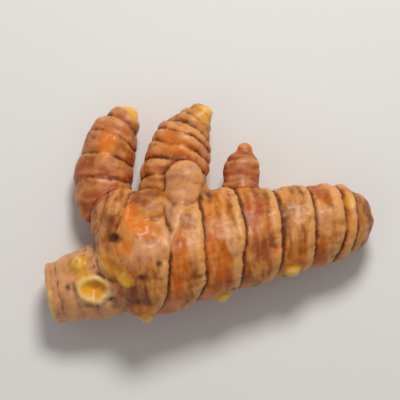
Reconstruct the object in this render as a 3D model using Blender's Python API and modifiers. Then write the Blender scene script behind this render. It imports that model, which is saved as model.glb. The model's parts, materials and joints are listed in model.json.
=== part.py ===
"""Turmeric root: one hand of fresh rhizome, lying as picked.

A thick ringed body carries two large fingers, a short side bud, a rounded knob, a blunt
broken lobe at its heel and several small buds. All of it is one grown piece, so every
branch is swept along its own spine and then fused into a single closed skin.
Lengths are in metres, +Z is up and +X runs along the body towards its growing end.
"""
import math
from dataclasses import dataclass

import bmesh
import bpy
from mathutils import Matrix, Vector

MM = 0.001

# Spine and skin
STEP = 0.7 * MM             # distance between two stations of a spine
SKIN_CELL = 0.5 * MM        # cell of the fused skin
FUSING_PASSES = 5           # smoothing passes that round the forks between branches
TRIANGLES = 9800            # triangles kept in the finished skin
FLATTENING = 0.93           # height over width of every branch, pressed by the soil
LUMP_HEIGHT = 1.3 * MM      # unevenness of the whole rhizome
LUMP_SPACING = 11 * MM      # distance between its lumps
GROOVE_SHARPNESS = 0.55     # below 1 makes a ring's groove narrower than its swelling
SWELLING_SKEW = 1.3         # above 1 puts the fullest part of a swelling nearer the tip
REST_DEPTH = 0.35 * MM      # how much the soft skin gives way where it rests

# Body
BODY_LENGTH = 60 * MM
BODY_GIRTH = 12.4 * MM      # largest radius, near the heel
BODY_RING_RELIEF = 0.95 * MM

# Old crown and broken lobe at the heel
CROWN_LENGTH = 14 * MM
CROWN_GIRTH = 7.8 * MM
LOBE_LENGTH = 18 * MM
LOBE_GIRTH = 8.7 * MM
LOBE_CORNER_LENGTH = 5 * MM
LOBE_CORNER_GIRTH = 2.4 * MM

# Two large fingers
FINGER_ONE_LENGTH = 25.3 * MM
FINGER_ONE_GIRTH = 6.2 * MM
FINGER_TWO_LENGTH = 25.2 * MM
FINGER_TWO_GIRTH = 6.8 * MM
FINGER_RING_RELIEF = 0.6 * MM

# Short growths
KNOB_LENGTH = 13.9 * MM
KNOB_GIRTH = 4.3 * MM
KNOB_FOLD_LENGTH = 12 * MM
KNOB_FOLD_GIRTH = 1.7 * MM
KNOB_CREASE_LENGTH = 5 * MM
KNOB_CREASE_GIRTH = 1.8 * MM
SIDE_BUD_LENGTH = 11.8 * MM
SIDE_BUD_GIRTH = 3.8 * MM
TOOTH_LENGTH = 7 * MM
TOOTH_GIRTH = 2.2 * MM
BOSS_LENGTH = 8.5 * MM
BOSS_GIRTH = 6.0 * MM
BUMP_LENGTH = 5.2 * MM
BUMP_GIRTH = 4.0 * MM
NUB_LENGTH = 3.6 * MM
NUB_GIRTH = 2.2 * MM

SKIN_COLOUR = (0.42, 0.22, 0.11, 1.0)
SKIN_ROUGHNESS = 0.55


@dataclass
class Branch:
    """One growth: where it leaves its parent, how it bends and how thick it is."""

    name: str
    length: float
    girth: float            # largest radius
    profile: tuple          # shares of the girth at even steps from root to tip
    heading: float          # degrees from +X in plan, at the root
    climb: float            # degrees above level, at the root
    parent: str = ""
    along: float = 0.0      # distance of the root along the parent's spine
    clock: float = 0.0      # side of the parent: 0 on top, 90 on its left, -90 on its right
    sink: float = 0.0       # depth of the root under the parent's skin
    bend: float = 0.0       # change of heading over the whole length
    lift: float = 0.0       # change of climb over the whole length
    dome: float = 1.0       # length of the round tip as a share of the tip's radius
    heel: float = 0.0       # length of a round root end as a share of the root's radius
    gaps: tuple = ()        # millimetres from the root to the first ring, then from ring to ring
    relief: float = 0.0     # height of the swelling between two rings


BRANCHES = (
    Branch("body", BODY_LENGTH, BODY_GIRTH, (0.8, 1.0, 0.93, 0.86, 0.76, 0.64, 0.52),
           heading=2, climb=-4.7, bend=-3.2, dome=0.8, heel=0.75,
           gaps=(4.2, 10.0, 7.9, 8.7, 8.3, 7.7, 6.4, 3.0), relief=BODY_RING_RELIEF),
    Branch("crown", CROWN_LENGTH, CROWN_GIRTH, (1.0, 1.0, 0.96, 0.86),
           parent="body", along=13 * MM, clock=62, sink=8.2 * MM, heading=142, climb=-2,
           bend=14, dome=0.9, gaps=(7, 4.5), relief=0.4 * MM),
    Branch("lobe", LOBE_LENGTH, LOBE_GIRTH, (1.0, 0.93, 0.84, 0.72),
           parent="body", along=7 * MM, clock=-150, sink=8.6 * MM, heading=191, climb=-8,
           bend=-13, dome=0.2, gaps=(7.5, 7), relief=0.3 * MM),
    Branch("lobe_corner", LOBE_CORNER_LENGTH, LOBE_CORNER_GIRTH, (1.0, 1.0, 0.95),
           parent="lobe", along=13.4 * MM, clock=90, sink=2.6 * MM, heading=180, climb=-4, dome=0.45),
    Branch("finger_one", FINGER_ONE_LENGTH, FINGER_ONE_GIRTH, (0.82, 0.94, 1.0, 1.0, 0.93, 0.68, 0.26),
           parent="crown", along=11 * MM, clock=-168, sink=1.15 * MM, heading=98, climb=-12,
           bend=-67, lift=17, gaps=(6, 5.2, 4.6, 4.2, 3.4), relief=FINGER_RING_RELIEF),
    Branch("finger_two", FINGER_TWO_LENGTH, FINGER_TWO_GIRTH, (0.85, 0.94, 1.0, 1.0, 0.92, 0.64, 0.3),
           parent="body", along=17.2 * MM, clock=112, sink=3 * MM, heading=75, climb=-8,
           bend=-30, lift=14, dome=0.6, gaps=(5.5, 4.2, 3.4, 2.9, 2.5, 2.2, 2.0),
           relief=FINGER_RING_RELIEF),
    Branch("tooth", TOOTH_LENGTH, TOOTH_GIRTH, (1.0, 1.0, 0.92),
           parent="finger_two", along=18.5 * MM, clock=-62, sink=3.4 * MM, heading=64, climb=4, dome=0.7),
    Branch("knob", KNOB_LENGTH, KNOB_GIRTH, (0.8, 0.74, 0.84, 1.0, 0.94),
           parent="body", along=19.2 * MM, clock=45, sink=4 * MM, heading=74, climb=-6, lift=-6),
    Branch("knob_fold", KNOB_FOLD_LENGTH, KNOB_FOLD_GIRTH, (1.0, 1.0, 0.95, 0.75),
           parent="body", along=19.8 * MM, clock=46, sink=0.9 * MM, heading=240, climb=40, lift=-42),
    Branch("knob_crease", KNOB_CREASE_LENGTH, KNOB_CREASE_GIRTH, (0.9, 1.0, 0.7),
           parent="body", along=24.4 * MM, clock=62, sink=0.9 * MM, heading=88, climb=-40),
    Branch("side_bud", SIDE_BUD_LENGTH, SIDE_BUD_GIRTH, (1.0, 1.0, 1.0, 0.98, 0.86),
           parent="body", along=33 * MM, clock=106, sink=3.2 * MM, heading=80, climb=-4,
           dome=0.75, gaps=(4.6, 4.2), relief=0.3 * MM),
    Branch("side_nub", 0.9 * NUB_LENGTH, 0.8 * NUB_GIRTH, (1.0, 1.0, 0.85),
           parent="side_bud", along=10.2 * MM, clock=-60, sink=2.6 * MM, heading=80, climb=6),
    Branch("boss", BOSS_LENGTH, BOSS_GIRTH, (0.95, 1.0, 0.9),
           parent="body", along=13 * MM, clock=62, sink=5.7 * MM, heading=90, climb=26),
    Branch("bump", BUMP_LENGTH, BUMP_GIRTH, (1.0, 1.0, 0.84),
           parent="body", along=8.4 * MM, clock=-68, sink=4.2 * MM, heading=268, climb=14),
    Branch("bump_nub", NUB_LENGTH, 0.85 * NUB_GIRTH, (1.0, 1.0, 0.85),
           parent="body", along=8.4 * MM, clock=-76, sink=1.8 * MM, heading=268, climb=6),
    Branch("low_nub", NUB_LENGTH, 0.85 * NUB_GIRTH, (1.0, 1.0, 0.85),
           parent="body", along=25 * MM, clock=-80, sink=1.9 * MM, heading=275, climb=8),
    Branch("end_nub", NUB_LENGTH, 0.85 * NUB_GIRTH, (1.0, 1.0, 0.85),
           parent="body", along=40.5 * MM, clock=-66, sink=2.0 * MM, heading=270, climb=22),
    Branch("lobe_bud", NUB_LENGTH, 0.85 * NUB_GIRTH, (1.0, 1.0, 0.85),
           parent="lobe", along=9 * MM, clock=-38, sink=2.0 * MM, heading=110, climb=60),
    Branch("back_nub", NUB_LENGTH, NUB_GIRTH, (1.0, 1.0, 0.85),
           parent="body", along=45 * MM, clock=128, sink=1.8 * MM, heading=80, climb=-24),
)


def clear_scene():
    """Remove whatever the open file holds."""
    for item in list(bpy.data.objects):
        bpy.data.objects.remove(item, do_unlink=True)


def make_collection(name):
    """Return a new collection linked to the scene."""
    collection = bpy.data.collections.new(name)
    bpy.context.scene.collection.children.link(collection)
    return collection


def branch_named(name):
    """Return the branch with this name."""
    return next(branch for branch in BRANCHES if branch.name == name)


def direction(branch, travelled):
    """Return the unit vector that a branch grows along, after a distance along its spine."""
    share = travelled / branch.length
    heading = math.radians(branch.heading + branch.bend * share)
    climb = math.radians(branch.climb + branch.lift * share)
    return Vector((math.cos(climb) * math.cos(heading), math.cos(climb) * math.sin(heading), math.sin(climb)))


def root_point(branch):
    """Return where a branch's spine starts: inside its parent, on the side that it grows from."""
    if not branch.parent:
        return Vector((0, 0, 0))
    parent = branch_named(branch.parent)
    ahead = direction(parent, branch.along)
    left = Vector((0, 0, 1)).cross(ahead).normalized()
    above = ahead.cross(left)
    angle = math.radians(branch.clock)
    outward = above * math.cos(angle) + left * math.sin(angle)
    return spine_point(parent, branch.along) + outward * (plain_radius(parent, branch.along) - branch.sink)


def spine_point(branch, travelled):
    """Return the point of a branch's spine at a distance from its root."""
    point = root_point(branch)
    steps = max(1, round(travelled / STEP))
    stride = travelled / steps
    for index in range(steps):
        point = point + direction(branch, (index + 0.5) * stride) * stride
    return point


def plain_radius(branch, travelled):
    """Return a branch's radius before its rings and its round tip, eased between the profile's steps."""
    place = min(travelled / branch.length, 1) * (len(branch.profile) - 1)
    index = min(int(place), len(branch.profile) - 2)
    share = place - index
    ease = share * share * (3 - 2 * share)
    low, high = branch.profile[index], branch.profile[index + 1]
    return branch.girth * (low + (high - low) * ease)


def share_of_gap(branch, travelled):
    """Return how far a place has come from the ring behind it to the next, from 0 to 1."""
    behind = 0.0
    for gap in branch.gaps:
        ahead = behind + gap * MM
        if travelled < ahead:
            return (travelled - behind) / (ahead - behind)
        behind = ahead
    return (travelled - behind) / (branch.length - behind)


def ring_swelling(branch, travelled):
    """Return how far the skin swells between two rings, down to nothing in each groove."""
    if not branch.gaps:
        return 0.0
    turn = share_of_gap(branch, travelled) ** SWELLING_SKEW
    return branch.relief * abs(math.sin(math.pi * turn)) ** GROOVE_SHARPNESS


def rounding(distance_to_end, reach):
    """Return the share of the radius that an elliptic end leaves at a distance from its tip."""
    if distance_to_end >= reach:
        return 1.0
    return math.sqrt(max(0, 1 - (1 - distance_to_end / reach) ** 2))


def radius(branch, travelled):
    """Return a branch's radius at a distance along its spine, with its round ends."""
    body = plain_radius(branch, travelled) + ring_swelling(branch, travelled) - branch.relief / 2
    dome = branch.dome * branch.girth * branch.profile[-1]
    heel = branch.heel * branch.girth * branch.profile[0]
    return body * rounding(branch.length - travelled, dome) * rounding(travelled, heel)


def tube_curve(branch):
    """Sweep a branch along its spine as a bevelled curve with a radius at every station."""
    curve = bpy.data.curves.new(branch.name, "CURVE")
    curve.dimensions = "3D"
    curve.bevel_depth = 1.0
    curve.bevel_resolution = 8
    curve.use_fill_caps = True
    stations = math.ceil(branch.length / STEP)
    spline = curve.splines.new("POLY")
    spline.points.add(stations)
    smallest = 0.05 * MM
    for index, point in enumerate(spline.points):
        travelled = branch.length * index / stations
        point.co = (*spine_point(branch, travelled), 1)
        point.radius = max(smallest, radius(branch, travelled))
    return bpy.data.objects.new(branch.name, curve)


def curve_to_mesh(tube, collection):
    """Turn a swept branch into a closed mesh, with its caps welded on."""
    collection.objects.link(tube)
    depsgraph = bpy.context.evaluated_depsgraph_get()
    mesh = bpy.data.meshes.new_from_object(tube.evaluated_get(depsgraph))
    mesh.transform(tube.matrix_world)
    bpy.data.objects.remove(tube, do_unlink=True)
    shape = bmesh.new()
    shape.from_mesh(mesh)
    bmesh.ops.remove_doubles(shape, verts=shape.verts, dist=0.001 * MM)
    bmesh.ops.recalc_face_normals(shape, faces=shape.faces)
    shape.to_mesh(mesh)
    shape.free()
    return mesh


def gather_branches(collection):
    """Return one object that holds every branch, still overlapping."""
    whole = bmesh.new()
    for branch in BRANCHES:
        mesh = curve_to_mesh(tube_curve(branch), collection)
        whole.from_mesh(mesh)
        bpy.data.meshes.remove(mesh)
    bmesh.ops.transform(whole, matrix=Matrix.Diagonal((1, 1, FLATTENING, 1)), verts=whole.verts)
    mesh = bpy.data.meshes.new("turmeric_rhizome")
    whole.to_mesh(mesh)
    whole.free()
    rhizome = bpy.data.objects.new("turmeric_rhizome", mesh)
    collection.objects.link(rhizome)
    return rhizome


def fuse_skin(rhizome):
    """Fuse the branches into one skin and round the forks between them."""
    fuse = rhizome.modifiers.new("fused_skin", "REMESH")
    fuse.mode = "VOXEL"
    fuse.voxel_size = SKIN_CELL
    fuse.use_smooth_shade = True
    smooth = rhizome.modifiers.new("rounded_forks", "SMOOTH")
    smooth.factor = 0.5
    smooth.iterations = FUSING_PASSES


def add_lumps(rhizome):
    """Make the skin uneven, as a grown thing is."""
    clouds = bpy.data.textures.new("lumps", "CLOUDS")
    clouds.noise_scale = LUMP_SPACING
    clouds.noise_depth = 1
    lumps = rhizome.modifiers.new("lumps", "DISPLACE")
    lumps.texture = clouds
    lumps.texture_coords = "LOCAL"
    lumps.strength = LUMP_HEIGHT
    lumps.mid_level = 0.5


def evaluated_mesh(item):
    """Return a copy of an object's mesh as its modifiers leave it, in world space."""
    depsgraph = bpy.context.evaluated_depsgraph_get()
    mesh = bpy.data.meshes.new_from_object(item.evaluated_get(depsgraph))
    mesh.transform(item.matrix_world)
    return mesh


def lighten_skin(rhizome):
    """Keep only as many triangles as the shape needs."""
    mesh = evaluated_mesh(rhizome)
    mesh.calc_loop_triangles()
    lighter = rhizome.modifiers.new("lighter_skin", "DECIMATE")
    lighter.ratio = min(1, TRIANGLES / len(mesh.loop_triangles))
    lighter.use_collapse_triangulate = True
    bpy.data.meshes.remove(mesh)


def set_down(rhizome):
    """Stand the rhizome over the origin, sunk into the floor by the depth of its rest faces."""
    mesh = evaluated_mesh(rhizome)
    places = [vertex.co for vertex in mesh.vertices]
    low = Vector(min(place[axis] for place in places) for axis in range(3))
    high = Vector(max(place[axis] for place in places) for axis in range(3))
    middle = (low + high) / 2
    rhizome.location = (-middle.x, -middle.y, -low.z - REST_DEPTH)
    bpy.data.meshes.remove(mesh)


def flatten_rest_faces(rhizome, cutters):
    """Cut the skin level wherever it presses on the floor."""
    reach = 4 * BODY_LENGTH
    bpy.ops.mesh.primitive_cube_add(size=reach, location=(0, 0, -reach / 2))
    floor = bpy.context.active_object
    floor.name = "floor_cutter"
    floor.display_type = "WIRE"
    floor.hide_render = True
    for collection in list(floor.users_collection):
        collection.objects.unlink(floor)
    cutters.objects.link(floor)
    cut = rhizome.modifiers.new("rest_faces", "BOOLEAN")
    cut.operation = "DIFFERENCE"
    cut.solver = "EXACT"
    cut.object = floor


def skin_material():
    """Return the dry brown skin."""
    material = bpy.data.materials.new("turmeric_skin")
    material.use_nodes = True
    surface = material.node_tree.nodes["Principled BSDF"]
    surface.inputs["Base Color"].default_value = SKIN_COLOUR
    surface.inputs["Roughness"].default_value = SKIN_ROUGHNESS
    surface.inputs["Metallic"].default_value = 0.0
    return material


def main():
    """Grow the rhizome and set it down on its rest faces."""
    clear_scene()
    parts = make_collection("turmeric_root")
    cutters = make_collection("cutters")
    rhizome = gather_branches(parts)
    rhizome.data.materials.append(skin_material())
    fuse_skin(rhizome)
    add_lumps(rhizome)
    lighten_skin(rhizome)
    set_down(rhizome)
    flatten_rest_faces(rhizome, cutters)


main()
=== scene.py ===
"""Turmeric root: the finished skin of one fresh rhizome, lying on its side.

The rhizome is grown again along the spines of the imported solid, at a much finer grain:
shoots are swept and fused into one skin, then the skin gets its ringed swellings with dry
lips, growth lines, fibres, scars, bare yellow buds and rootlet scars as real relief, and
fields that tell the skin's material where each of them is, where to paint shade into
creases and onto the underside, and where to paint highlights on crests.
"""
import json
import math
from dataclasses import dataclass

import bmesh
import bpy
import numpy as np
from bpy.props import FloatProperty, FloatVectorProperty, IntProperty, PointerProperty
from mathutils import Euler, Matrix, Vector

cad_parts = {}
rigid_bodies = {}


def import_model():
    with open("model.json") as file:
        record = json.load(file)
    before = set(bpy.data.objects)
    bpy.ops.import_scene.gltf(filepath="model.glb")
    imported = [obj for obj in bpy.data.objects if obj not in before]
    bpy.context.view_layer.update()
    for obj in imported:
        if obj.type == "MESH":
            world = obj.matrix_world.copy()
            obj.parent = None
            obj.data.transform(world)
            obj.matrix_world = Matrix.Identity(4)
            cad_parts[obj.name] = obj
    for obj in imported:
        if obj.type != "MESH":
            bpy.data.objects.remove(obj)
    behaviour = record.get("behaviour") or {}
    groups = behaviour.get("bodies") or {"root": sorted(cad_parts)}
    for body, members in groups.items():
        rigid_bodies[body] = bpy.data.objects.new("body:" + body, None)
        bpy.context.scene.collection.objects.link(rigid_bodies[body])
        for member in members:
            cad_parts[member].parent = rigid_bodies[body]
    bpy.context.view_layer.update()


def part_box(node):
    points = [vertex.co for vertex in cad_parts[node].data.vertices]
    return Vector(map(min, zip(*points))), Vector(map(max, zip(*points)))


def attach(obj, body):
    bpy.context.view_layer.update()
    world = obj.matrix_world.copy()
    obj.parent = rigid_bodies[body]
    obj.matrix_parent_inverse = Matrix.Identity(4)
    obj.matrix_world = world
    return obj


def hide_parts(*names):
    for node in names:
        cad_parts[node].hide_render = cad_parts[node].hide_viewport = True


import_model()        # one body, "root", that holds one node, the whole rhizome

bl_info = {
    "name": "Turmeric Root",
    "version": (1, 0, 0),
    "blender": (4, 5, 0),
    "location": "3D View > Sidebar > Turmeric",
    "description": "Grows a fresh turmeric rhizome on its packed solid and sets it on a pale floor",
    "category": "Object",
}

NODE = "turmeric_rhizome"
LOW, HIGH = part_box(NODE)
LAID_OUT_LENGTH = 70.56                     # millimetres that the shoots below add up to
MM = (HIGH.x - LOW.x) / LAID_OUT_LENGTH     # one of those millimetres in the frame
UP = np.array((0.0, 0.0, 1.0))

STEP = 0.35 * MM            # distance between two stations of a spine
BATCH = 20000               # points compared with a spine at one time
SKIN_REACH = 4 * MM         # farthest from a shoot's surface that it still feeds the skin
BLEND = 0.55 * MM           # reach over which two shoots share their skin at a fork
SLOPE_ALLOWANCE = 0.35      # share of a slope's drop that counts against a mark's reach
ROOTLETS = 64               # number of rootlet scars
PRESSED = 0.35 * MM         # depth to which the underside is pressed level
PRESSED_EDGE = 0.25 * MM    # height over which the pressed level rounds up into the skin

LATTICE = 32                # size of the lattice that noise is read from
LATTICE_TURN = np.array(Euler((0.7, 0.4, 1.1)).to_matrix())     # keeps it off the shoots' axes
NOISE_STRENGTH = 1.8        # brings noise to about -1 to 1
OCTAVE_SHIFT = 7.3          # keeps the octaves of noise from lining up
SEEDS_PER_SHOOT = 20
ROOTLET_SEED = 71
LUMP_SEED = 101
MARK_SEED = 200

SHOOT_FIELDS = ("groove", "lip", "band", "fibre", "warmth", "blush", "pale", "young", "broken",
                "core")
SKIN_FIELDS = ("flesh", "scar", "pit", "crease_shade", "crest_highlight", "under")

LENS = 200                  # millimetres, long for a flat view
FLOOR_SIZE = 60             # rhizome lengths
WORLD_COLOUR = (1.0, 0.98, 0.96, 1.0)
WORLD_STRENGTH = 0.27
LIGHTS = (                  # name, place and size in rhizome lengths, power, colour
    ("key", (1.2, 3.0, 4.6), 1.7, 205, (1.0, 0.97, 0.93)),
    ("fill", (-4.0, -2.0, 4.0), 4.0, 12, (0.95, 0.97, 1.0)),
)


# ---- sizes and colours

def length_setting(name, description, millimetres):
    """Return a setting for one length of the rhizome, with its default taken from the frame."""
    return FloatProperty(name=name, description=description, default=millimetres * MM,
                         min=0.0, subtype="DISTANCE", unit="LENGTH", precision=5)


def colour_setting(name, description, default):
    """Return a setting for one colour."""
    return FloatVectorProperty(name=name, description=description, default=default,
                               min=0.0, max=1.0, size=3, subtype="COLOR")


class RhizomeSizes(bpy.types.PropertyGroup):
    """Lengths of the rhizome's shoots and of the relief on its skin."""

    body_length: length_setting("Body length", "Length of the thick ringed body", 60)
    body_girth: length_setting("Body girth", "Largest radius of the body", 12.4)
    crown_length: length_setting("Crown length", "Length of the old crown at the heel", 14)
    crown_girth: length_setting("Crown girth", "Radius of the old crown", 7.8)
    lobe_length: length_setting("Lobe length", "Length of the broken lobe at the heel", 18)
    lobe_girth: length_setting("Lobe girth", "Radius of the broken lobe", 8.7)
    finger_one_length: length_setting("First finger length", "Length of the pointed finger", 25.3)
    finger_one_girth: length_setting("First finger girth", "Radius of the pointed finger", 6.2)
    finger_two_length: length_setting("Second finger length", "Length of the blunt finger", 25.2)
    finger_two_girth: length_setting("Second finger girth", "Radius of the blunt finger", 6.8)
    knob_length: length_setting("Knob length", "Length of the smooth knob and its stalk", 13.9)
    knob_girth: length_setting("Knob girth", "Radius of the smooth knob", 4.3)
    side_bud_length: length_setting("Side bud length", "Length of the short side bud", 11.8)
    side_bud_girth: length_setting("Side bud girth", "Radius of the short side bud", 3.8)
    nub_length: length_setting("Nub length", "Length of a small bare bud", 3.6)
    nub_girth: length_setting("Nub girth", "Radius of a small bare bud", 2.2)
    body_relief: length_setting("Body swelling", "Swelling of the body between its rings", 0.9)
    finger_relief: length_setting("Finger swelling", "Swelling of a finger between its rings", 0.36)
    lip_height: length_setting("Lip height", "Height of the dry lip in front of a ring", 0.24)
    groove_depth: length_setting("Groove depth", "Depth of the groove behind a ring", 0.34)
    lump_height: length_setting("Lump height", "Unevenness of the whole rhizome", 0.6)
    wrinkle_height: length_setting("Wrinkle height", "Height of the lengthwise wrinkles", 0.04)
    skin_cell: length_setting("Skin cell", "Spacing of the points of the finished skin", 0.31)
    fork_passes: IntProperty(name="Fork rounding", description="Smoothing passes over the forks",
                             default=14, min=0)


class RhizomeColours(bpy.types.PropertyGroup):
    """Colours of the rhizome's skin, scars and buds."""

    tan: colour_setting("Tan skin", "Clean dry skin", (0.72, 0.244, 0.028))
    # brown skin is also the painted shade on the underside and steep sides
    brown: colour_setting("Brown skin", "Weathered skin", (0.26, 0.073, 0.011))
    ember: colour_setting("Ember skin", "Thin skin with the orange flesh showing through",
                          (0.70, 0.146, 0.004))
    blush: colour_setting("Blushed skin", "Reddish young skin", (0.44, 0.092, 0.030))
    # the lip colour is also the painted highlight on convex crests
    lip: colour_setting("Dry lip", "Pale dry edge of an old leaf base", (0.90, 0.45, 0.15))
    pale: colour_setting("Pale skin", "Corky skin of the old lobe", (0.84, 0.41, 0.20))
    # the groove colour is also the painted shade in creases, forks and hollows
    groove: colour_setting("Groove", "Soil and shade in the rings", (0.075, 0.017, 0.003))
    flesh: colour_setting("Flesh", "Bare orange flesh", (0.80, 0.205, 0.014))
    raw: colour_setting("Raw flesh", "Paler flesh where it is freshly bared", (0.88, 0.36, 0.085))
    cream: colour_setting("Scar rim", "Healed rim of a scar", (0.92, 0.64, 0.28))
    pit: colour_setting("Pit", "Dried hollow", (0.085, 0.014, 0.008))
    bud: colour_setting("Bud", "Bare yellow bud", (0.93, 0.45, 0.012))
    # painted highlight: mixed onto the rounded, convex tops of the bare buds
    bud_highlight: colour_setting("Bud tip", "Pale end of a bare bud", (0.95, 0.60, 0.14))


class StageSettings(bpy.types.PropertyGroup):
    """Floor, lights and camera."""

    floor_colour: colour_setting("Floor", "Colour of the plain floor", (0.90, 0.90, 0.89))
    camera_turn: FloatProperty(name="Camera turn", description="Turn of the camera in plan",
                               default=math.radians(-10.6), subtype="ANGLE")
    camera_height: FloatProperty(name="Camera height", description="Camera's angle above level",
                                 default=math.radians(86), subtype="ANGLE")
    fill: FloatProperty(name="Fill", description="Share of the picture that the rhizome fills",
                        default=0.84, min=0.1, max=1.0, subtype="FACTOR")
    light_strength: FloatProperty(name="Light strength", description="Strength of both lights",
                                  default=1.0, min=0.0)


# ---- noise

def ease(share):
    """Return a share from 0 to 1 with a soft start and a soft stop."""
    share = np.clip(share, 0, 1)
    return share * share * (3 - 2 * share)


def noise(places, seed, octaves=2):
    """Return smooth noise from about -1 to 1 at places whose lumps are one unit apart."""
    slopes = np.random.default_rng(seed).normal(size=(LATTICE, LATTICE, LATTICE, 3))
    slopes /= np.linalg.norm(slopes, axis=3)[..., None]
    turned = places @ LATTICE_TURN
    total = np.zeros(len(places))
    strength = NOISE_STRENGTH
    for octave in range(octaves):
        place = turned * 2 ** octave + OCTAVE_SHIFT * octave
        corner = np.floor(place).astype(int)
        offset = place - corner
        share = ease(offset)
        for step in np.ndindex(2, 2, 2):
            x, y, z = ((corner + step) % LATTICE).T
            weight = np.prod(np.where(step, share, 1 - share), axis=1)
            total += strength * weight * ((offset - step) * slopes[x, y, z]).sum(1)
        strength /= 2
    return total


# ---- shoots

@dataclass
class Shoot:
    """One growth: where it leaves its parent, how it bends, its thickness and its marks."""

    name: str
    length: float
    girth: float            # largest radius
    profile: tuple          # shares of the girth at even steps from root to tip
    heading: float          # degrees from +X in plan, at the root
    climb: float            # degrees above level, at the root
    parent: str = "body"    # empty for the body itself
    along: float = 0.0      # millimetres from the parent's root to this one
    clock: float = 0.0      # side of the parent: 0 on top, 90 on its left, -90 on its right
    sink: float = 0.0       # millimetres of the root under the parent's skin
    bend: float = 0.0       # change of heading over the whole length
    lift: float = 0.0       # change of climb over the whole length
    dome: float = 1.0       # length of the round tip as a share of the tip's radius
    heel: float = 0.0       # length of a round root end as a share of the root's radius
    gaps: tuple = ()        # millimetres from the root to the first ring, then from ring to ring
    lean: float = 0.0       # degrees that the rings lean forward on the upper side
    slant: float = 0.0      # degrees that the rings lean forward on the left side
    crisp: float = 1.0      # strength of the rings' lips and grooves
    relief: float = 0.0     # swelling between two rings
    warmth: tuple = (0.0,)  # orange tone of each swelling, from -1 to 1, repeated if short
    blush: float = 0.0      # share of reddish skin
    pale: float = 0.0       # share of pale corky skin
    bud: float = 0.0        # length of the bare yellow tip
    broken: float = 0.0     # length of the tip that is a broken face


def big_shoots(sizes):
    """Return the body and the growths at its heel."""
    return (
        Shoot("body", sizes.body_length, sizes.body_girth, (0.8, 1.0, 0.93, 0.86, 0.76, 0.64, 0.52),
              heading=2, climb=-4.7, parent="", bend=-3.2, dome=0.8, heel=0.75, lean=13, slant=9,
              gaps=(12.4, 7.9, 8.7, 8.3, 7.7, 6.4, 3.0), relief=sizes.body_relief,
              warmth=(0.15, 0.75, 0.6, 0.3, -0.6, 0.4, 0.5, -0.8)),
        Shoot("crown", sizes.crown_length, sizes.crown_girth, (1.0, 1.0, 0.96, 0.86),
              along=13, clock=62, sink=8.2, heading=142, climb=-2, bend=14, dome=0.9,
              gaps=(7, 4.5), crisp=0.25, relief=0.4 * MM, warmth=(0.1, -0.4), blush=0.35),
        Shoot("lobe", sizes.lobe_length, sizes.lobe_girth, (1.0, 0.93, 0.84, 0.72),
              along=7, clock=-150, sink=8.6, heading=191, climb=-8, bend=-13, dome=0.2,
              gaps=(7.5, 7), crisp=0.1, relief=0.3 * MM, warmth=(-0.3, -0.6), pale=1.0,
              broken=1.0 * MM),
    )


def fingers(sizes):
    """Return the two fingers, the knob between them and the side bud."""
    return (
        Shoot("finger_one", sizes.finger_one_length, sizes.finger_one_girth,
              (0.82, 0.94, 1.0, 1.0, 0.91, 0.6, 0.22), parent="crown", along=11, clock=-168,
              sink=1.15, heading=98, climb=-12, bend=-67, lift=17, gaps=(6, 5.2, 4.6, 4.2, 3.4),
              lean=10, crisp=0.45, relief=sizes.finger_relief,
              warmth=(0.3, 0.2, 0.5, 0.4, 0.0, -0.2), blush=0.75, bud=2.4 * MM),
        Shoot("finger_two", sizes.finger_two_length, sizes.finger_two_girth,
              (0.85, 0.94, 1.0, 1.0, 0.92, 0.64, 0.3), along=17.2, clock=112, sink=3, heading=75,
              climb=-8, bend=-30, lift=14, dome=0.6, gaps=(5.5, 4.2, 3.4, 2.9, 2.5, 2.2, 2.0),
              lean=14, crisp=0.7, relief=0.9 * sizes.finger_relief,
              warmth=(0.6, 0.9, 1.2, 1.1, 0.5, 0.2, 0.1), blush=0.45),
        Shoot("tooth", 7 * MM, 2.2 * MM, (1.0, 1.0, 0.92), parent="finger_two", along=18.5,
              clock=-62, sink=3.4, heading=64, climb=4, dome=0.7, bud=4.2 * MM),
        Shoot("knob", sizes.knob_length, sizes.knob_girth, (0.8, 0.74, 0.84, 1.0, 0.94),
              along=19.2, clock=45, sink=4, heading=74, climb=-6, lift=-6, warmth=(-0.35,),
              pale=0.8),
        Shoot("side_bud", sizes.side_bud_length, sizes.side_bud_girth,
              (1.0, 1.0, 1.0, 0.98, 0.86), along=33, clock=106, sink=3.2, heading=80, climb=-4,
              dome=0.75, gaps=(4.6, 4.2), lean=8, crisp=0.35, relief=0.3 * MM,
              warmth=(-0.5, 0.0), blush=1.15),
    )


def nub(sizes, name, parent, along, clock, sink, heading, climb, girth=1.0):
    """Return one small bare bud."""
    return Shoot(name, sizes.nub_length, girth * sizes.nub_girth, (1.0, 1.0, 0.85), parent=parent,
                 along=along, clock=clock, sink=sink, heading=heading, climb=climb,
                 bud=0.8 * sizes.nub_length)


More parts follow.
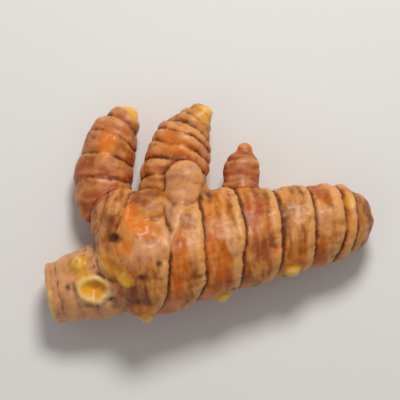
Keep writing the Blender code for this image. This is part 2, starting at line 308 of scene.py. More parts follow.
def small_shoots(sizes):
    """Return the low growths on the body and the small bare buds."""
    return (
        Shoot("boss", 8.5 * MM, 6.0 * MM, (0.95, 1.0, 0.9), along=13, clock=62, sink=5.7,
              heading=90, climb=26, warmth=(0.1,), blush=0.3),
        Shoot("bump", 5.2 * MM, 4.0 * MM, (1.0, 1.0, 0.84), along=8.4, clock=-68, sink=4.2,
              heading=268, climb=14, warmth=(-0.8,), blush=0.5),
        Shoot("knob_fold", 12 * MM, 1.7 * MM, (1.0, 1.0, 0.95, 0.75), along=19.8, clock=46,
              sink=0.9, heading=240, climb=40, lift=-42, warmth=(-0.5,), pale=0.9),
        Shoot("knob_crease", 5 * MM, 1.8 * MM, (0.9, 1.0, 0.7), along=24.4, clock=62, sink=0.9,
              heading=88, climb=-40, warmth=(-0.3,), pale=0.6),
        Shoot("lobe_corner", 5 * MM, 2.4 * MM, (1.0, 1.0, 0.95), parent="lobe", along=13.4,
              clock=90, sink=2.6, heading=180, climb=-4, dome=0.45, pale=0.8, warmth=(-0.3,)),
        Shoot("side_nub", 3.2 * MM, 1.8 * MM, (1.0, 1.0, 0.85), parent="side_bud", along=10.2,
              clock=-60, sink=2.6, heading=80, climb=6, warmth=(1.0,), bud=0.5 * MM),
        nub(sizes, "bump_nub", "body", 8.4, -76, 1.8, 268, 6, girth=0.85),
        nub(sizes, "low_nub", "body", 25, -80, 1.9, 275, 8, girth=0.85),
        nub(sizes, "end_nub", "body", 40.5, -66, 2.0, 270, 22, girth=0.85),
        nub(sizes, "lobe_bud", "lobe", 9, -38, 2.0, 110, 60, girth=0.85),
        nub(sizes, "back_nub", "body", 45, 128, 1.8, 80, -24),
    )


def radius_along(shoot, travelled):
    """Return a shoot's radius at distances along its spine, before its ends are rounded."""
    places = np.clip(travelled / shoot.length, 0, 1) * (len(shoot.profile) - 1)
    index = np.minimum(places.astype(int), len(shoot.profile) - 2)
    profile = np.array(shoot.profile)
    low, high = profile[index], profile[index + 1]
    return shoot.girth * (low + (high - low) * ease(places - index))


def rounding(distance, reach):
    """Return the share of the radius that an elliptic end leaves at distances from its tip."""
    if reach <= 0:
        return np.ones_like(distance)
    return np.sqrt(np.clip(1 - (1 - np.clip(distance / reach, 0, 1)) ** 2, 0, 1))


class Spine:
    """A shoot's centre line, walked in small steps, with a frame and a radius at each step."""

    def __init__(self, shoot, spines):
        self.shoot = shoot
        count = max(3, round(shoot.length / STEP))
        self.travelled = np.linspace(0, shoot.length, count)
        share = self.travelled / shoot.length
        heading = np.radians(shoot.heading + shoot.bend * share)
        climb = np.radians(shoot.climb + shoot.lift * share)
        level = np.cos(climb)
        self.ahead = np.stack(
            [level * np.cos(heading), level * np.sin(heading), np.sin(climb)], axis=1)
        left = np.cross(UP, self.ahead)
        self.left = left / np.linalg.norm(left, axis=1)[:, None]
        self.above = np.cross(self.ahead, self.left)
        strides = (self.ahead[1:] + self.ahead[:-1]) / 2 * (self.travelled[1] - self.travelled[0])
        root = spines[shoot.parent].side(shoot) if shoot.parent else np.zeros(3)
        self.points = root + np.vstack([np.zeros(3), np.cumsum(strides, axis=0)])
        tip_reach = shoot.dome * shoot.girth * shoot.profile[-1]
        heel_reach = shoot.heel * shoot.girth * shoot.profile[0]
        self.radii = radius_along(shoot, self.travelled)
        self.radii *= rounding(shoot.length - self.travelled, tip_reach)
        self.radii *= rounding(self.travelled, heel_reach)

    def side(self, child):
        """Return where a child's spine starts, under this shoot's skin on the child's side."""
        index = int(np.argmin(np.abs(self.travelled - child.along * MM)))
        angle = math.radians(child.clock)
        outward = self.above[index] * math.cos(angle) + self.left[index] * math.sin(angle)
        depth = radius_along(self.shoot, self.travelled[index]) - child.sink * MM
        return self.points[index] + outward * depth

    def nearest(self, points):
        """Return, for each point, how far along this spine it is and its offsets left and up."""
        index = np.empty(len(points), int)
        for start in range(0, len(points), BATCH):
            part = points[start:start + BATCH]
            spread = (self.points ** 2).sum(1)[None] - 2 * part @ self.points.T
            index[start:start + BATCH] = spread.argmin(1)
        offset = points - self.points[index]
        travelled = self.travelled[index] + (offset * self.ahead[index]).sum(1)
        across = (offset * self.left[index]).sum(1)
        above = (offset * self.above[index]).sum(1)
        return index, travelled, across, above


def grow_spines(sizes):
    """Return every shoot's spine by name, parents before their children."""
    spines = {}
    for shoot in (*big_shoots(sizes), *fingers(sizes), *small_shoots(sizes)):
        spines[shoot.name] = Spine(shoot, spines)
    return spines


# ---- the fused skin

def add_object(name, data):
    """Add an object to the scene and return it."""
    item = bpy.data.objects.new(name, data)
    bpy.context.scene.collection.objects.link(item)
    return item


def evaluated_mesh(item):
    """Return a copy of an object's mesh as its modifiers leave it."""
    graph = bpy.context.evaluated_depsgraph_get()
    return bpy.data.meshes.new_from_object(item.evaluated_get(graph))


def sweep(spine):
    """Return a closed mesh swept along one spine."""
    curve = bpy.data.curves.new(spine.shoot.name, "CURVE")
    curve.dimensions = "3D"
    curve.bevel_depth = 1.0
    curve.bevel_resolution = 10
    curve.use_fill_caps = True
    line = curve.splines.new("POLY")
    line.points.add(len(spine.points) - 1)
    for point, place, radius in zip(line.points, spine.points, spine.radii):
        point.co = (*place, 1)
        point.radius = max(radius, 0.05 * MM)
    tube = add_object(spine.shoot.name, curve)
    mesh = evaluated_mesh(tube)
    bpy.data.objects.remove(tube)
    bpy.data.curves.remove(curve)
    return mesh


def fuse(spines, cell):
    """Return one closed mesh around all the swept shoots."""
    whole = bmesh.new()
    for spine in spines.values():
        mesh = sweep(spine)
        whole.from_mesh(mesh)
        bpy.data.meshes.remove(mesh)
    bmesh.ops.remove_doubles(whole, verts=whole.verts, dist=0.001 * MM)
    mesh = bpy.data.meshes.new("fused")
    whole.to_mesh(mesh)
    whole.free()
    item = add_object("fused", mesh)
    remesh = item.modifiers.new("skin", "REMESH")
    remesh.mode = "VOXEL"
    remesh.voxel_size = cell
    skin = evaluated_mesh(item)
    bpy.data.objects.remove(item)
    bpy.data.meshes.remove(mesh)
    if not skin.vertices:
        raise RuntimeError("The shoots did not fuse into a skin; check the skin cell")
    return skin


def read(items, name, width, kind=float):
    """Return one property of a mesh's items as an array with a row for each item."""
    values = np.empty(len(items) * width, kind)
    items.foreach_get(name, values)
    return values.reshape(-1, width)


class Skin:
    """The fused skin as arrays: its points, its triangles and each point's neighbours."""

    def __init__(self, mesh):
        self.mesh = mesh
        mesh.calc_loop_triangles()
        self.points = read(mesh.vertices, "co", 3)
        self.edges = read(mesh.edges, "vertices", 2, int)
        self.triangles = read(mesh.loop_triangles, "vertices", 3, int)
        self.valence = np.bincount(self.edges.ravel(), minlength=len(self.points))

    def average(self, values):
        """Return the mean of a value over each point's neighbours."""
        first, second = self.edges.T
        total = (np.bincount(first, values[second], len(values))
                 + np.bincount(second, values[first], len(values)))
        return total / self.valence

    def soften(self, values, passes):
        """Return values smoothed over the skin."""
        columns = np.atleast_2d(values.T)
        for _ in range(passes):
            columns = np.array([(column + self.average(column)) / 2 for column in columns])
        return columns.T.reshape(values.shape)

    def normals(self):
        """Return the direction that the skin faces at each point."""
        first, second, third = (self.points[corner] for corner in self.triangles.T)
        faces = np.cross(second - first, third - first)
        total = np.stack([sum(np.bincount(corner, facing, len(self.points))
                              for corner in self.triangles.T) for facing in faces.T], axis=1)
        return total / np.linalg.norm(total, axis=1)[:, None]


# ---- relief and fields

def ring_places(shoot):
    """Return how far from the root each ring is, and where the rings before and after would be."""
    gaps = np.array(shoot.gaps) * MM
    rings = np.cumsum(gaps)
    last = max(shoot.length + 2 * MM, rings[-1] + gaps[-1])
    return np.concatenate([[-0.5 * gaps[0]], rings, [last]])


def bell(distance, reach):
    """Return a soft bump around zero distance."""
    return np.exp(-(distance / reach) ** 2)


def cells(travelled, across, above, length, width):
    """Return places on a shoot for noise whose lumps are so many millimetres long and wide."""
    return np.stack([travelled / length, across / width, above / width], axis=1) / MM


def ringed_relief(shoot, seed, travelled, across, above, sizes, fields):
    """Add a shoot's swellings, lips and grooves to its fields, and return their height."""
    wide_place = cells(travelled, across, above, 6, 7)
    fine_place = cells(travelled, across, above, 2, 1.6)
    wander = 0.7 * MM * noise(wide_place, seed, octaves=1) + 0.1 * MM * noise(fine_place, seed + 1)
    leaned = travelled - math.tan(math.radians(shoot.lean)) * above + wander
    leaned -= math.tan(math.radians(shoot.slant)) * across
    rings = ring_places(shoot)
    index = np.clip(np.searchsorted(rings, leaned) - 1, 0, len(rings) - 2)
    behind = leaned - rings[index]
    before = rings[index + 1] - leaned
    share = np.clip(behind / (behind + before), 0, 1)
    ring_place = np.stack([index * 3.1, across / (1.9 * MM), above / (1.9 * MM)], axis=1)
    next_place = ring_place + (3.1, 0, 0)
    inner = (index > 0) & (rings[index] < shoot.length - 0.6 * MM)
    outer = index < len(rings) - 2
    ragged_groove = np.clip(0.55 + noise(ring_place, seed + 2), 0.06, 1.2)
    ragged_lip = np.clip(0.7 + 0.7 * noise(next_place, seed + 3), 0.05, 1.4)
    groove = bell(behind - 0.15 * MM, 0.55 * MM) * inner * ragged_groove * shoot.crisp
    lip = bell(before - 1.0 * MM, 1.25 * MM) * outer * ragged_lip * shoot.crisp
    swelling = 0.5 * np.sin(math.pi * share) + 0.7 * share ** 2 - 0.5
    tones = np.resize(shoot.warmth, len(rings))
    fields["groove"] = groove
    fields["lip"] = lip
    fields["warmth"] = tones[index] * (1.1 - 0.8 * ease((share - 0.3) * 1.6)) + 0.3 * (1 - share)
    return shoot.relief * swelling + sizes.lip_height * lip - sizes.groove_depth * groove


def shoot_fields(spine, seed, travelled, across, above, sizes):
    """Return the height and the fields of one shoot's skin at places given along and across it."""
    shoot = spine.shoot
    count = len(travelled)
    fields = {name: np.zeros(count) for name in SHOOT_FIELDS}
    height = np.zeros(count)
    if shoot.gaps:
        height += ringed_relief(shoot, seed, travelled, across, above, sizes, fields)
    else:
        fields["warmth"] += shoot.warmth[0]
    long_place = cells(travelled, across, above, 5, 0.9)
    fields["band"] = noise(cells(travelled, across, above, 1.3, 5), seed + 4, octaves=3)
    fields["fibre"] = noise(long_place, seed + 5)
    height += sizes.wrinkle_height * fields["fibre"] + 0.09 * MM * fields["band"]
    if shoot.bud:
        edge = shoot.length - shoot.bud + 0.35 * MM * noise(long_place, seed + 6)
        fields["young"] = ease((travelled - edge) / (0.5 * MM))
        collar = bell(travelled - edge + 0.2 * MM, 0.4 * MM)
        height = height * (1 - 0.85 * fields["young"]) + 0.16 * MM * collar
    if shoot.broken:
        height = break_tip(shoot, seed, travelled, across, above, height, fields)
    fields["blush"] = np.full(count, shoot.blush)
    fields["pale"] = np.full(count, shoot.pale)
    return height, fields


def break_tip(shoot, seed, travelled, across, above, height, fields):
    """Bare the flesh of a broken tip, with its inner ring and torn fibres; return the height."""
    places = cells(travelled, across, above, 1, 1)
    fibres = noise(places / 0.9, seed + 7, octaves=3)
    edge = shoot.length - shoot.broken + 0.3 * MM * noise(places / 1.5, seed + 8)
    face = ease((travelled - edge) / (0.5 * MM))
    out = np.hypot(across, above) / (shoot.girth * shoot.profile[-1])
    ring = bell(out - 0.62 + 0.06 * fibres, 0.09)
    fields["broken"] = face
    fields["core"] = face * np.clip(0.75 * ease((0.62 - out) * 5) + ring + 0.3 * fibres, 0, 1)
    rim = bell(travelled - edge + 0.15 * MM, 0.4 * MM)
    return height * (1 - face) + face * MM * (0.22 * fibres - 0.25 * ring) + 0.3 * MM * rim


def blend_shoots(skin, spines, sizes):
    """Return the height and the fields of the whole skin, each point fed by the shoots it is on."""
    count = len(skin.points)
    total = {name: np.zeros(count) for name in SHOOT_FIELDS}
    height = np.zeros(count)
    weights = np.zeros(count)
    for seed, spine in enumerate(spines.values()):
        index, travelled, across, above = spine.nearest(skin.points)
        gap = np.hypot(across, above) - spine.radii[index]
        ends = np.maximum(travelled - spine.shoot.length, 0) + np.maximum(-travelled, 0)
        gap = np.abs(np.hypot(gap, ends))
        on = gap < SKIN_REACH
        weight = np.exp(-gap[on] / BLEND)
        high, fields = shoot_fields(spine, SEEDS_PER_SHOOT * seed, travelled[on], across[on],
                                    above[on], sizes)
        height[on] += weight * high
        weights[on] += weight
        for name in SHOOT_FIELDS:
            total[name][on] += weight * fields[name]
    weights = np.maximum(weights, 1e-6)
    for name in SHOOT_FIELDS:
        total[name] /= weights
    return height / weights, total


# ---- scars and patches

@dataclass
class Mark:
    """A scar, a pit or a patch on the upper side, placed from the body's root."""

    x: float                # millimetres along the body
    y: float                # millimetres to the left of the body's axis
    reach: float            # millimetres from its middle to its edge
    long: float = 1.0       # how much longer it is than wide
    turn: float = 0.0       # degrees that its long axis is turned from the body's axis
    soft: float = 1.0       # width of its fading edge, as a share of its reach
    ragged: float = 0.2     # how uneven its edge is
    rim: float = 0.0        # millimetres that its rim stands up
    dish: float = 0.0       # millimetres that its middle is sunk
    flesh: float = 0.0      # this and the next ones are what it adds to the skin's fields
    scar: float = 0.0       # on the rim only
    pit: float = 0.0
    blush: float = 0.0
    pale: float = 0.0
    young: float = 0.0
    warmth: float = 0.0


TORN_SKIN = (
    Mark(10.2, 7.9, 2.2, long=1.6, turn=100, soft=0.6, ragged=0.35, rim=0.15, dish=0.3, flesh=1.0),
    Mark(12.2, 11.6, 1.1, long=2.4, turn=-24, soft=0.5, dish=0.2, blush=1.0, pit=0.2),
    Mark(13.0, 5.2, 2.2, long=1.3, turn=-30, flesh=0.45, warmth=0.6),
    Mark(6.7, 2.9, 1.7, long=1.1, soft=0.7, dish=0.15, flesh=0.75, blush=0.5),
    Mark(7.5, 25.6, 1.8, long=1.7, turn=66, soft=0.9, flesh=0.85),
    Mark(19.0, 0.2, 1.7, long=2.8, turn=84, flesh=0.3, warmth=0.6),
    Mark(24.0, -1.6, 1.5, long=2.6, turn=84, flesh=0.25, warmth=0.7),
    Mark(26.6, -4.0, 1.9, flesh=0.2, warmth=0.6),
)
BUD_SCARS = (
    Mark(3.6, -0.8, 1.6, long=2.4, turn=-60, dish=0.5, young=0.4, warmth=1.0, blush=0.2),
    Mark(5.5, -4.0, 1.3, long=1.3, turn=-35, soft=0.9, rim=0.15, young=0.7),
    Mark(2.0, 2.4, 0.9, long=1.4, turn=-70, young=0.5),
    Mark(0.9, 0.0, 0.9, long=3.6, turn=-62, soft=0.9, rim=0.25, dish=-0.4, pale=1.0, scar=0.12),
    Mark(-0.8, -4.9, 2.4, long=1.25, turn=-14, soft=0.6, ragged=0.16, rim=0.8, dish=1.1, flesh=0.3,
         young=0.6, scar=0.95),
    Mark(-1.4, -4.7, 0.9, long=1.5, turn=-10, soft=0.8, dish=0.3, flesh=0.6),
    Mark(1.6, -6.6, 1.2, long=1.8, turn=60, pale=1.0, scar=0.2),
    Mark(-3.0, -2.4, 1.5, long=1.7, turn=80, soft=0.9, young=0.55),
    Mark(-4.3, 2.2, 1.1, long=1.6, turn=86, soft=0.8, dish=0.4, pit=0.35),
    Mark(-11.9, -7.0, 1.1, long=3.0, turn=80, rim=0.2, young=0.75),
    Mark(-12.2, -1.6, 1.0, long=2.6, turn=84, young=0.3),
    Mark(55.6, 4.0, 1.2, long=1.2, turn=90, soft=0.9, young=0.55),
    Mark(54.6, -1.6, 0.9, long=2.4, turn=90, flesh=0.3, young=0.2, warmth=0.6),
)
HOLLOWS = (
    Mark(4.5, 8.9, 1.4, long=1.3, soft=0.6, dish=0.3, pit=0.5, blush=0.6),
    Mark(5.1, 5.4, 1.1, long=1.5, turn=-25, soft=0.6, dish=0.9, pit=1.0),
    Mark(-6.8, -2.8, 0.7, soft=0.6, dish=0.4, pit=0.6),
    Mark(13.9, -2.1, 0.7, soft=0.6, dish=0.4, pit=0.6),
    # painted shade in the groove between the bump and the body, over a real shallow dish
    Mark(9.4, -4.7, 0.9, long=2.6, turn=-8, soft=0.8, dish=0.4, pit=0.4, blush=0.6),
    Mark(13.6, 13.2, 0.8, long=4.5, turn=-8, dish=0.3, pit=0.4),
    Mark(58.6, 1.6, 2.6, long=1.4, turn=90, soft=0.8, rim=0.2, dish=0.4, pit=0.26, warmth=-1.2),
    Mark(13.2, 26.6, 0.9, long=2.8, turn=-66, soft=0.9, dish=0.25, blush=1.0, pit=0.3),
)
TINTS = (
    Mark(57.3, -3.6, 1.6, warmth=0.9, flesh=0.2, pale=0.5),
    Mark(11.8, 2.2, 2.0, long=1.4, pale=0.8),
    Mark(9.6, -0.6, 2.6, long=1.7, pale=0.6),
    # painted highlight on the first finger
    Mark(7.6, 21.8, 1.4, long=2.0, turn=84, pale=0.6),
    Mark(5.4, 17.0, 2.4, long=1.7, turn=80, blush=0.8, warmth=0.6),
    Mark(2.4, 24.0, 2.2, long=1.5, turn=66, blush=0.7, pit=0.08),
    Mark(21.2, 23.0, 2.3, long=1.7, turn=-36, warmth=0.9, flesh=0.35),
    Mark(17.6, 18.8, 2.2, blush=0.9, warmth=0.6),
    Mark(28.8, 20.0, 2.4, blush=0.8, warmth=0.6),
    Mark(33.2, 18.0, 2.0, long=1.5, blush=1.0, pit=0.12),
    Mark(35.1, 6.7, 2.6, blush=1.0, warmth=0.5),
    Mark(35.0, -3.0, 2.8, long=1.6, turn=88, blush=0.8),
    Mark(42.5, -5.6, 3.0, long=1.6, warmth=1.2, pit=0.06),
    Mark(7.4, -7.6, 2.4, blush=0.8, pit=0.3),
    Mark(43.0, 2.6, 2.8, long=1.4, turn=90, pale=0.45, warmth=-0.6),
    Mark(49.6, 1.2, 1.6, long=2.2, turn=92, pale=0.8, scar=0.1),
    Mark(29.4, 2.0, 1.0, long=4.2, turn=96, pale=0.9, scar=0.2),
    Mark(21.0, -1.5, 0.9, long=4.6, turn=96, pale=0.7, scar=0.1),
    # painted highlight: a pale streak along the knob's fold down into the body
    Mark(17.9, 8.2, 1.0, long=3.0, turn=105, pale=1.0, scar=0.15),
    Mark(15.8, 4.0, 1.2, long=2.2, turn=110, pale=0.7),
)
MARKS = (*TINTS, *HOLLOWS, *TORN_SKIN, *BUD_SCARS)


def upper_point(skin, normals, x, y):
    """Return the highest point of the skin over a place in plan."""
    apart = np.hypot(skin.points[:, 0] - x, skin.points[:, 1] - y)
    near = np.flatnonzero((apart < apart.min() + 0.4 * MM) & (normals[:, 2] > -0.2))
    return skin.points[near[skin.points[near, 2].argmax()]]


def press_mark(skin, normals, mark, seed, fields):
    """Add one mark to the fields and return the height that it gives the skin."""
    offset = skin.points - upper_point(skin, normals, mark.x * MM, mark.y * MM)
    turn = math.radians(mark.turn)
    forward = offset[:, 0] * math.cos(turn) + offset[:, 1] * math.sin(turn)
    sideways = offset[:, 1] * math.cos(turn) - offset[:, 0] * math.sin(turn)
    reach = mark.reach * MM
    drop = SLOPE_ALLOWANCE * offset[:, 2]
    distance = np.sqrt((forward / mark.long) ** 2 + sideways ** 2 + drop ** 2) / reach
    near = (distance < 2.4) & (offset[:, 2] > -5 * MM)
    edge = 1 + mark.ragged * noise(skin.points[near] / reach, seed, octaves=3)
    inside = distance[near] / edge
    mask = ease((1 + mark.soft / 2 - inside) / mark.soft)
    rim = bell(inside - 1, 0.26)
    bowl = ease((0.95 - inside) / 0.9)
    for name in ("flesh", "pit", "blush", "pale", "young", "warmth"):
        fields[name][near] += getattr(mark, name) * mask
    fields["scar"][near] += mark.scar * rim
    if mark.flesh or mark.scar or mark.young:
        keep = 1 - 0.7 * mask
        fields["groove"][near] *= keep
        fields["lip"][near] *= keep
    height = np.zeros(len(skin.points))
    height[near] = mark.rim * MM * rim - mark.dish * MM * bowl
    return height


def rootlet_scars(skin, normals, fields):
    """Stud the skin with the round scars that rootlets leave, mostly low on the sides."""
    random = np.random.default_rng(ROOTLET_SEED)
    height = np.zeros(len(skin.points))
    lowness = np.clip(0.35 - normals[:, 2], 0, 1) * (fields["young"] + fields["broken"] < 0.1)
    share = lowness / lowness.sum()
    for pick in random.choice(len(skin.points), ROOTLETS, replace=False, p=share):
        reach = random.uniform(0.45, 0.95) * MM
        distance = np.linalg.norm(skin.points - skin.points[pick], axis=1) / reach
        near = distance < 2.5
        rim, middle = distance[near] - 0.8, distance[near]
        height[near] += 0.22 * MM * bell(rim, 0.35) - 0.2 * MM * bell(middle, 0.5)
        fields["scar"][near] += 0.35 * bell(rim, 0.3)
        fields["pit"][near] += 0.5 * bell(middle, 0.45)
    return height


def lumps(points, sizes):
    """Return the unevenness of the whole rhizome, from large lumps down to small bumps."""
    return (sizes.lump_height * noise(points / (9 * MM), LUMP_SEED)
            + 0.36 * sizes.lump_height * noise(points / (2.8 * MM), LUMP_SEED + 1)
            + 0.05 * MM * noise(points / (0.7 * MM), LUMP_SEED + 2))


def curvature(skin, normals, passes):
    """Return how far each point stands out of (or, below zero, sinks into) its surroundings."""
    level = skin.soften(skin.points, passes)
    return ((skin.points - level) * normals).sum(1)


# ---- placing and writing the skin

def set_in_frame(points):
    """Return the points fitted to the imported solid's box, with the underside pressed level."""
    low, high = points.min(0), points.max(0)
    box_low, box_high = np.array(LOW), np.array(HIGH)
    scale = (box_high - box_low) / (high - low)
    placed = (points - (low + high) / 2) * scale + (box_low + box_high) / 2
    lifted = placed[:, 2] - PRESSED
    rounded = PRESSED_EDGE * np.exp(np.minimum(lifted / PRESSED_EDGE - 1, 0))
    placed[:, 2] = np.where(lifted > PRESSED_EDGE, lifted, rounded)
    placed[:, 2] *= box_high[2] / placed[:, 2].max()
    placed[:, 2] -= placed[:, 2].min()
    return placed


def write_skin(skin, placed, fields, material):
    """Turn the skin into the finished piece, with its fields as attributes."""
    skin.mesh.vertices.foreach_set("co", placed.ravel())
    for name in (*SHOOT_FIELDS, *SKIN_FIELDS):
        attribute = skin.mesh.attributes.new(name, "FLOAT", "POINT")
        attribute.data.foreach_set("value", fields[name].astype(np.float32))
    skin.mesh.materials.clear()
    skin.mesh.materials.append(material)
    skin.mesh.shade_smooth()
    skin.mesh.update()
    return add_object("rhizome", skin.mesh)


def grow_skin(sizes):
    """Return the skin with its relief, and its fields by name."""
    spines = grow_spines(sizes)
    skin = Skin(fuse(spines, sizes.skin_cell))
    skin.points = skin.soften(skin.points, sizes.fork_passes)
    normals = skin.normals()
    height, fields = blend_shoots(skin, spines, sizes)
    for name in ("flesh", "scar", "pit"):
        fields[name] = np.zeros(len(skin.points))
    for seed, mark in enumerate(MARKS):
        height += press_mark(skin, normals, mark, MARK_SEED + seed, fields)
    height += rootlet_scars(skin, normals, fields)
    height += lumps(skin.points, sizes) * (1 - 0.5 * np.clip(fields["young"], 0, 1))
    height = skin.soften(height, 2)
    for name in ("groove", "lip", "warmth"):
        fields[name] = skin.soften(fields[name], 2)
    skin.points = skin.points + normals * height[:, None]
    skin.points = skin.soften(skin.points, 1)
    normals = skin.normals()
    fine = curvature(skin, normals, 4)
    wide = curvature(skin, normals, 40)
    bent = fine / (0.05 * MM) + wide / (0.5 * MM)
    # painted shade: concave places (creases, forks, hollows) are later darkened toward the groove
    # colour
    fields["crease_shade"] = np.clip(-bent, 0, 1.5)
    # painted highlight: convex crests are later lightened toward the lip and bud tip colours
    fields["crest_highlight"] = np.clip(bent, 0, 1.5)
    # painted shade: marks the downward-facing and steep faces, which are darkened below
    fields["under"] = ease(0.3 - normals[:, 2]) * (1 - np.clip(fields["young"], 0, 1))
    return skin, fields


# ---- the material

def joined(operation, reflected=False):
    """Return a method that joins a value and another one in a Math node."""
    def method(self, other):
        pair = (other, self) if reflected else (self, other)
        sockets = dict(enumerate(pair))
        return self.paint.value("ShaderNodeMath", {"operation": operation}, sockets)
    return method


class Value:
    """A value in a material, written in sums: each operator adds one Math node."""

    def __init__(self, paint, socket):
        self.paint = paint
        self.socket = socket

    __add__, __radd__ = joined("ADD"), joined("ADD", reflected=True)
    __sub__, __rsub__ = joined("SUBTRACT"), joined("SUBTRACT", reflected=True)
    __mul__, __rmul__ = joined("MULTIPLY"), joined("MULTIPLY", reflected=True)

    def clamped(self):
        """Return the value held between 0 and 1."""
        return self.paint.value("ShaderNodeClamp", {}, {"Value": self})

    def step(self, low, high):
        """Return a soft step from 0 at low to 1 at high."""
        settings = {"interpolation_type": "SMOOTHSTEP"}
        sockets = {"Value": self, "From Min": low, "From Max": high, "To Min": 0.0, "To Max": 1.0}
        return self.paint.value("ShaderNodeMapRange", settings, sockets)


class Paint:
    """The node tree of one material."""

    def __init__(self, name):
        self.material = bpy.data.materials.new(name)
        self.material.use_nodes = True
        self.tree = self.material.node_tree
        self.surface = self.tree.nodes["Principled BSDF"]

    def node(self, kind, settings, sockets):
        """Add a node: its settings first, then the values or links of its sockets."""
        node = self.tree.nodes.new(kind)
        for name, setting in settings.items():
            setattr(node, name, setting)
        for name, value in sockets.items():
            self.feed(node.inputs[name], value)
        return node

    def value(self, kind, settings, sockets, output=0):
        """Add a node and return one of its outputs, ready for sums."""
        return Value(self, self.node(kind, settings, sockets).outputs[output])

    def feed(self, socket, value):
        """Give a socket a link, a number or a colour."""
        if isinstance(value, Value):
            self.tree.links.new(value.socket, socket)
        elif hasattr(value, "__len__") and len(value) == 3 and socket.type == "RGBA":
            socket.default_value = (*value, 1.0)
        else:
            socket.default_value = value

    def finish(self, sockets):
        """Give the surface the values and links of its sockets, and return the material."""
        for name, value in sockets.items():
            self.feed(self.surface.inputs[name], value)
        return self.material

    def field(self, name):
        """Return one of the skin's fields."""
        settings = {"attribute_type": "GEOMETRY", "attribute_name": name}
        return self.value("ShaderNodeAttribute", settings, {}, output="Fac")

    def grain(self, places, cell, detail=2.0, roughness=0.5, distortion=0.0):
        """Return noise from 0 to 1 with lumps a cell apart."""
        sockets = {"Vector": places, "Scale": 1 / cell, "Detail": detail, "Roughness": roughness,
                   "Distortion": distortion}
        return self.value("ShaderNodeTexNoise", {}, sockets)

    def mix(self, share, first, second):
        """Return a colour mixed from two."""
        settings = {"data_type": "RGBA", "clamp_factor": True}
        return self.value("ShaderNodeMix", settings, {0: share, 6: first, 7: second}, output=2)


def skin_colour(paint, colours, mottle, fine):
    """Return the colour of unbroken skin, from its ground tone to its lips and grooves, with
    painted highlights on crests and painted shade in creases.
    """
    band = paint.field("band")
    tone = (mottle * 2.0 + fine * 0.9 + band * 0.56 - 0.86).clamped()
    colour = paint.mix(tone, colours.brown, colours.tan)
    glow = paint.field("warmth") * 0.55 + (mottle - 0.5) * 1.1 - band * 0.2 + 0.02
    colour = paint.mix(glow.step(0.05, 0.75) * 0.78, colour, colours.ember)
    blush = paint.field("blush") * 1.1 + (mottle - 0.5) * 0.9 - 0.15
    colour = paint.mix(blush.step(0.0, 0.9) * 0.75, colour, colours.blush)
    cork = paint.field("pale") * 1.2 + (fine - 0.5) * 0.8 - 0.2
    colour = paint.mix(cork.clamped() * 0.7, colour, colours.pale)
    # real dry lips and pale streaks, plus a painted highlight on convex crests
    edge = paint.field("lip") + paint.field("crest_highlight") * 0.4 + band * 0.45 + (fine - 0.5) * 0.7
    colour = paint.mix(edge.clamped() * 0.72, colour, colours.lip)
    # ring grooves darken with soil and painted shade; creases darken with painted shade only
    shade = paint.field("groove") * 0.62 + paint.field("crease_shade") * 0.66 + (fine - 0.5) * 0.5
    return paint.mix(shade.clamped() * 0.85, colour, colours.groove)


def bared_colour(paint, colours, mottle, fine, colour):
    """Return the colour with torn skin, scars, hollows, bare buds and the broken face."""
    torn = paint.field("flesh") * 1.25 + (fine - 0.5) * 0.4 - 0.08
    flesh = paint.mix(mottle.step(0.45, 0.7), colours.flesh, colours.raw)
    colour = paint.mix(torn.clamped(), colour, flesh)
    colour = paint.mix(paint.field("scar").clamped() * 0.85, colour, colours.cream)
    colour = paint.mix(paint.field("pit").clamped() * 0.9, colour, colours.pit)
    young = paint.field("young") * (0.8 + fine * 0.4)
    # painted highlight on the buds' convex tops
    bud = paint.mix((paint.field("crest_highlight") * 0.8).clamped(), colours.bud, colours.bud_highlight)
    colour = paint.mix(young.clamped(), colour, bud)
    core = paint.field("core") * 0.8 + (fine - 0.5) * 0.8
    inside = paint.mix(core.clamped(), colours.bud, colours.flesh)
    inside = paint.mix(mottle.step(0.35, 0.7) * 0.5, inside, colours.cream)
    broken = paint.field("broken") * 1.1 - (fine - 0.4) * 0.5
    return paint.mix(broken.clamped() * 0.9, colour, inside)


def specks(paint, colours, places, colour):
    """Return the colour with small dark specks of soil and dried skin."""
    dots = paint.value("ShaderNodeTexVoronoi", {"feature": "F1"},
                       {"Vector": places, "Scale": 1 / (1.5 * MM), "Randomness": 1.0})
    patchy = paint.grain(places, 5.0 * MM)
    speck = (0.1 - dots + (patchy - 0.5) * 0.45).step(0.0, 0.08)
    return paint.mix(speck * 0.5, colour, colours.groove)


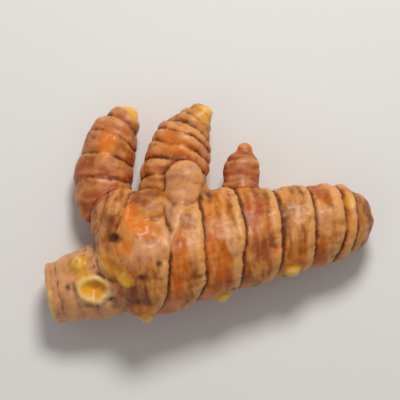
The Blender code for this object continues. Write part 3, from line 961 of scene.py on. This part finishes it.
def skin_material(colours):
    """Return the skin: thin, papery and faintly moist, with bare flesh and buds."""
    paint = Paint("turmeric_skin")
    places = paint.value("ShaderNodeTexCoord", {}, {}, output="Object")
    mottle = paint.grain(places, 3.2 * MM, detail=4.0, roughness=0.62, distortion=0.4)
    fine = paint.grain(places, 0.6 * MM, detail=3.0, roughness=0.6)
    colour = skin_colour(paint, colours, mottle, fine)
    colour = bared_colour(paint, colours, mottle, fine, colour)
    # painted shade on the underside and steep sides, mixed toward the brown skin
    colour = paint.mix(paint.field("under") * 0.55, colour, colours.brown)
    rough = paint.grain(places, 0.9 * MM, detail=4.0, roughness=0.65)
    pores = paint.grain(places, 0.22 * MM, detail=2.0)
    bare = (paint.field("young") + paint.field("flesh")).clamped()
    height = rough * 0.6 + pores * 0.35 + paint.field("fibre") * 0.25
    bump = {"Strength": 0.45, "Distance": 0.12 * MM, "Height": height}
    return paint.finish({
        "Base Color": specks(paint, colours, places, colour),
        "Roughness": 0.41 + (rough - 0.5) * 0.35 + paint.field("groove") * 0.2 - bare * 0.08,
        "Normal": paint.value("ShaderNodeBump", {}, bump),
        "Specular IOR Level": 0.34,
        "Coat Weight": 0.04,
        "Coat Roughness": 0.28,
        "Subsurface Weight": 0.08,
        "Subsurface Radius": (1.0, 0.35, 0.12),
        "Subsurface Scale": 1.2 * MM,
    })


def floor_material(stage):
    """Return the plain pale floor."""
    paint = Paint("pale_floor")
    places = paint.value("ShaderNodeTexCoord", {}, {}, output="Object")
    pale = tuple(stage.floor_colour)
    shaded = tuple(0.97 * part for part in pale)
    colour = paint.mix(paint.grain(places, 60 * MM), shaded, pale)
    return paint.finish({"Base Color": colour, "Roughness": 0.8})


# ---- operators

class TURMERIC_OT_grow_rhizome(bpy.types.Operator):
    """Grow the rhizome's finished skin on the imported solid"""

    bl_idname = "turmeric.grow_rhizome"
    bl_label = "Grow Rhizome"

    def execute(self, context):
        """Grow the skin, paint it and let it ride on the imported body."""
        skin, fields = grow_skin(context.scene.rhizome_sizes)
        if not np.isfinite(skin.points).all():
            raise RuntimeError("The skin has points with no place; check the sizes")
        material = skin_material(context.scene.rhizome_colours)
        piece = write_skin(skin, set_in_frame(skin.points), fields, material)
        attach(piece, "root")
        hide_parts(NODE)
        return {"FINISHED"}


def area_light(name, place, target, size, power, colour):
    """Add a soft round light aimed at a point."""
    light = bpy.data.lights.new(name, "AREA")
    light.shape = "DISK"
    light.size = size
    light.energy = power
    light.color = colour
    item = add_object(name, light)
    item.location = place
    item.rotation_euler = (target - place).to_track_quat("-Z", "Y").to_euler()


class TURMERIC_OT_set_stage(bpy.types.Operator):
    """Set the pale floor, the soft lights and the camera"""

    bl_idname = "turmeric.set_stage"
    bl_label = "Set Stage"

    def execute(self, context):
        """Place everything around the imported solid's box."""
        stage = context.scene.rhizome_stage
        middle = (LOW + HIGH) / 2
        span = (HIGH - LOW).x
        if span <= 0:
            raise RuntimeError("The packed solid has no length, so the stage has no scale")
        self.lay_floor(stage, span)
        self.light(stage, middle, span)
        self.aim_camera(stage, middle, span)
        return {"FINISHED"}

    def lay_floor(self, stage, span):
        """Lay a plain floor just under the rhizome."""
        place = (0, 0, LOW.z - 0.02 * MM)
        bpy.ops.mesh.primitive_plane_add(size=FLOOR_SIZE * span, location=place)
        floor = bpy.context.active_object
        floor.name = "floor"
        floor.data.materials.append(floor_material(stage))

    def light(self, stage, middle, span):
        """Light the rhizome softly from above, strongest from its far right."""
        world = bpy.data.worlds.new("studio")
        world.use_nodes = True
        background = world.node_tree.nodes["Background"]
        background.inputs["Color"].default_value = WORLD_COLOUR
        background.inputs["Strength"].default_value = WORLD_STRENGTH
        bpy.context.scene.world = world
        for name, place, size, power, colour in LIGHTS:
            area_light(name, middle + span * Vector(place), middle, size * span,
                       power * stage.light_strength * span ** 2, colour)

    def aim_camera(self, stage, middle, span):
        """Look down at the rhizome from the stage's angle, from far enough for a flat view."""
        camera = bpy.data.cameras.new("camera")
        camera.lens = LENS
        camera.clip_end = 100 * span
        distance = span / stage.fill * camera.lens / camera.sensor_width
        turn, height = stage.camera_turn, stage.camera_height
        level = math.cos(height)
        back = Vector((math.sin(turn) * level, -math.cos(turn) * level, math.sin(height)))
        item = add_object("camera", camera)
        item.location = middle + back * distance
        item.rotation_euler = (math.pi / 2 - height, 0, turn)
        bpy.context.scene.camera = item
        bpy.context.scene.view_settings.view_transform = "Standard"


class TURMERIC_PT_sidebar(bpy.types.Panel):
    """Sizes, colours and steps of the turmeric root"""

    bl_idname = "TURMERIC_PT_sidebar"
    bl_label = "Turmeric Root"
    bl_space_type = "VIEW_3D"
    bl_region_type = "UI"
    bl_category = "Turmeric"

    def draw(self, context):
        """List the steps, then every setting."""
        for operator in OPERATORS:
            self.layout.operator(operator.bl_idname)
        for name, group in GROUPS.items():
            box = self.layout.box()
            for setting in group.__annotations__:
                box.prop(getattr(context.scene, name), setting)


OPERATORS = (TURMERIC_OT_grow_rhizome, TURMERIC_OT_set_stage)
GROUPS = {
    "rhizome_sizes": RhizomeSizes,
    "rhizome_colours": RhizomeColours,
    "rhizome_stage": StageSettings,
}


def register():
    """Register the settings, the operators and the panel."""
    for name, group in GROUPS.items():
        bpy.utils.register_class(group)
        setattr(bpy.types.Scene, name, PointerProperty(type=group))
    for item in (*OPERATORS, TURMERIC_PT_sidebar):
        bpy.utils.register_class(item)


def unregister():
    """Undo what register does."""
    for item in (TURMERIC_PT_sidebar, *reversed(OPERATORS)):
        bpy.utils.unregister_class(item)
    for name, group in reversed(GROUPS.items()):
        delattr(bpy.types.Scene, name)
        bpy.utils.unregister_class(group)


def main():
    """Build the scene."""
    register()
    bpy.ops.turmeric.grow_rhizome()
    bpy.ops.turmeric.set_stage()


if __name__ == "__main__":
    main()
